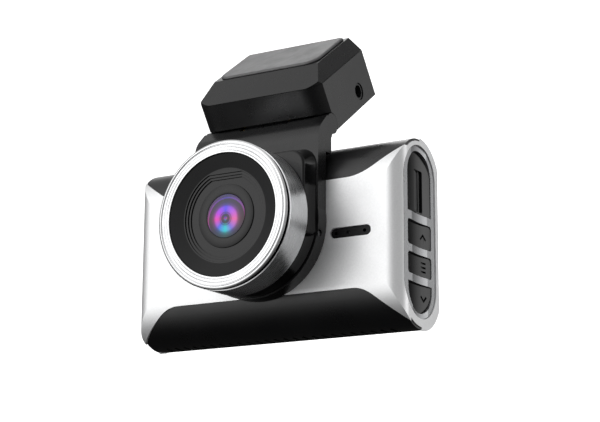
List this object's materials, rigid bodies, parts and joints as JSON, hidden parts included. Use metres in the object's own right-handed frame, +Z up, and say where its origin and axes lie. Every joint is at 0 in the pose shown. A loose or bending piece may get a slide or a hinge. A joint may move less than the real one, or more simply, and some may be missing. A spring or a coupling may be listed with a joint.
{
  "type": "dash camera",
  "caption": "Windscreen dash camera with a large front lens in a half-round case, tilting on a stick-on mount, with a memory card slot and keys at one end.",
  "frame": {"origin": "centre of the adhesive pad's outer face, where the mount sticks to the windscreen", "axes": "+Z up as the camera hangs, -Y the way the lens looks, +X towards the end with the card slot and keys"},
  "size_m": [0.0858, 0.0501, 0.0892],
  "materials": {
    "silver_shell": "fine silver metallic spray, satin",
    "silver_trim": "silver metallic spray, semi-gloss",
    "black_case": "fine-grained black, satin",
    "black_mount": "fine-grained black, satin",
    "black_arm": "black, semi-gloss",
    "black_gloss": "polished black",
    "black_key": "black, semi-gloss",
    "display_glass": "polished, dark",
    "display_panel": "display module",
    "switch_metal": "stamped",
    "circuit_board": "green solder mask",
    "sheet_steel": "tinned sheet",
    "card_plastic": "moulded, fine matt",
    "capacitor_sleeve": "shrink sleeve",
    "speaker_plastic": "moulded",
    "lens_metal": "finely turned, satin",
    "ring_metal": "bright turned with fine grooves",
    "coated_glass": "multi-coated, violet and blue reflections",
    "sensor_glass": "cover glass",
    "flex_film": "polyimide film",
    "screw_steel": "plated",
    "washer_bronze": "plain",
    "pad_foam": "foam tape with its film",
    "socket_plastic": "moulded",
    "contact_brass": "tinned",
    "ceramic": "fired ceramic"
  },
  "bodies": {
    "mount": {"mount_housing": "black_mount", "mount_cap": "black_mount", "adhesive_pad": "pad_foam", "power_jack": "socket_plastic", "jack_tails": "contact_brass", "gps_board": "circuit_board", "gps_antenna": "ceramic", "mount_screws": "screw_steel", "friction_washers": "washer_bronze"},
    "camera": {"front_shell": "silver_shell", "top_cover": "black_case", "bottom_cover": "black_case", "rear_housing": "black_case", "display_glass": "display_glass", "display_panel": "display_panel", "end_trim": "silver_trim", "card_bay": "black_gloss", "tact_switches": "switch_metal", "side_board": "circuit_board", "card_socket": "sheet_steel", "main_board": "circuit_board", "processor_shield": "sheet_steel", "backup_capacitors": "capacitor_sleeve", "speaker": "speaker_plastic", "microphone": "sheet_steel", "mic_grille": "black_gloss", "lens_base": "black_gloss", "lens_barrel": "lens_metal", "lens_ring": "ring_metal", "lens_trim": "black_gloss", "lens_cell": "black_case", "front_element": "coated_glass", "rear_element": "coated_glass", "image_sensor": "sensor_glass", "sensor_board": "circuit_board", "sensor_flex": "flex_film", "case_screws": "screw_steel", "arm": "black_arm", "arm_screws": "screw_steel", "arm_side_screws": "screw_steel", "hinge_pin": "screw_steel"},
    "button_up": {"button_up": "black_key"},
    "button_menu": {"button_menu": "black_key"},
    "button_down": {"button_down": "black_key"},
    "card": {"memory_card": "card_plastic"}
  },
  "joints": [
    {"name": "mount_tilt", "type": "hinge", "parent": "mount", "child": "camera", "pos_m": [0, -0.00514, -0.02421], "axis": [1, 0, 0], "range_deg": [-5, 35]},
    {"name": "button_up_press", "type": "slide", "parent": "camera", "child": "button_up", "axis": [-1, 0, 0], "range_m": [0, 0.0004], "stiffness_N_per_m": 400, "springref_m": -0.002},
    {"name": "button_menu_press", "type": "slide", "parent": "camera", "child": "button_menu", "axis": [-1, 0, 0], "range_m": [0, 0.0004], "stiffness_N_per_m": 400, "springref_m": -0.002},
    {"name": "button_down_press", "type": "slide", "parent": "camera", "child": "button_down", "axis": [-1, 0, 0], "range_m": [0, 0.0004], "stiffness_N_per_m": 400, "springref_m": -0.002},
    {"name": "card_slide", "type": "slide", "parent": "camera", "child": "card", "axis": [1, 0, 0], "range_m": [-0.0008, 0.012]}
  ]
}
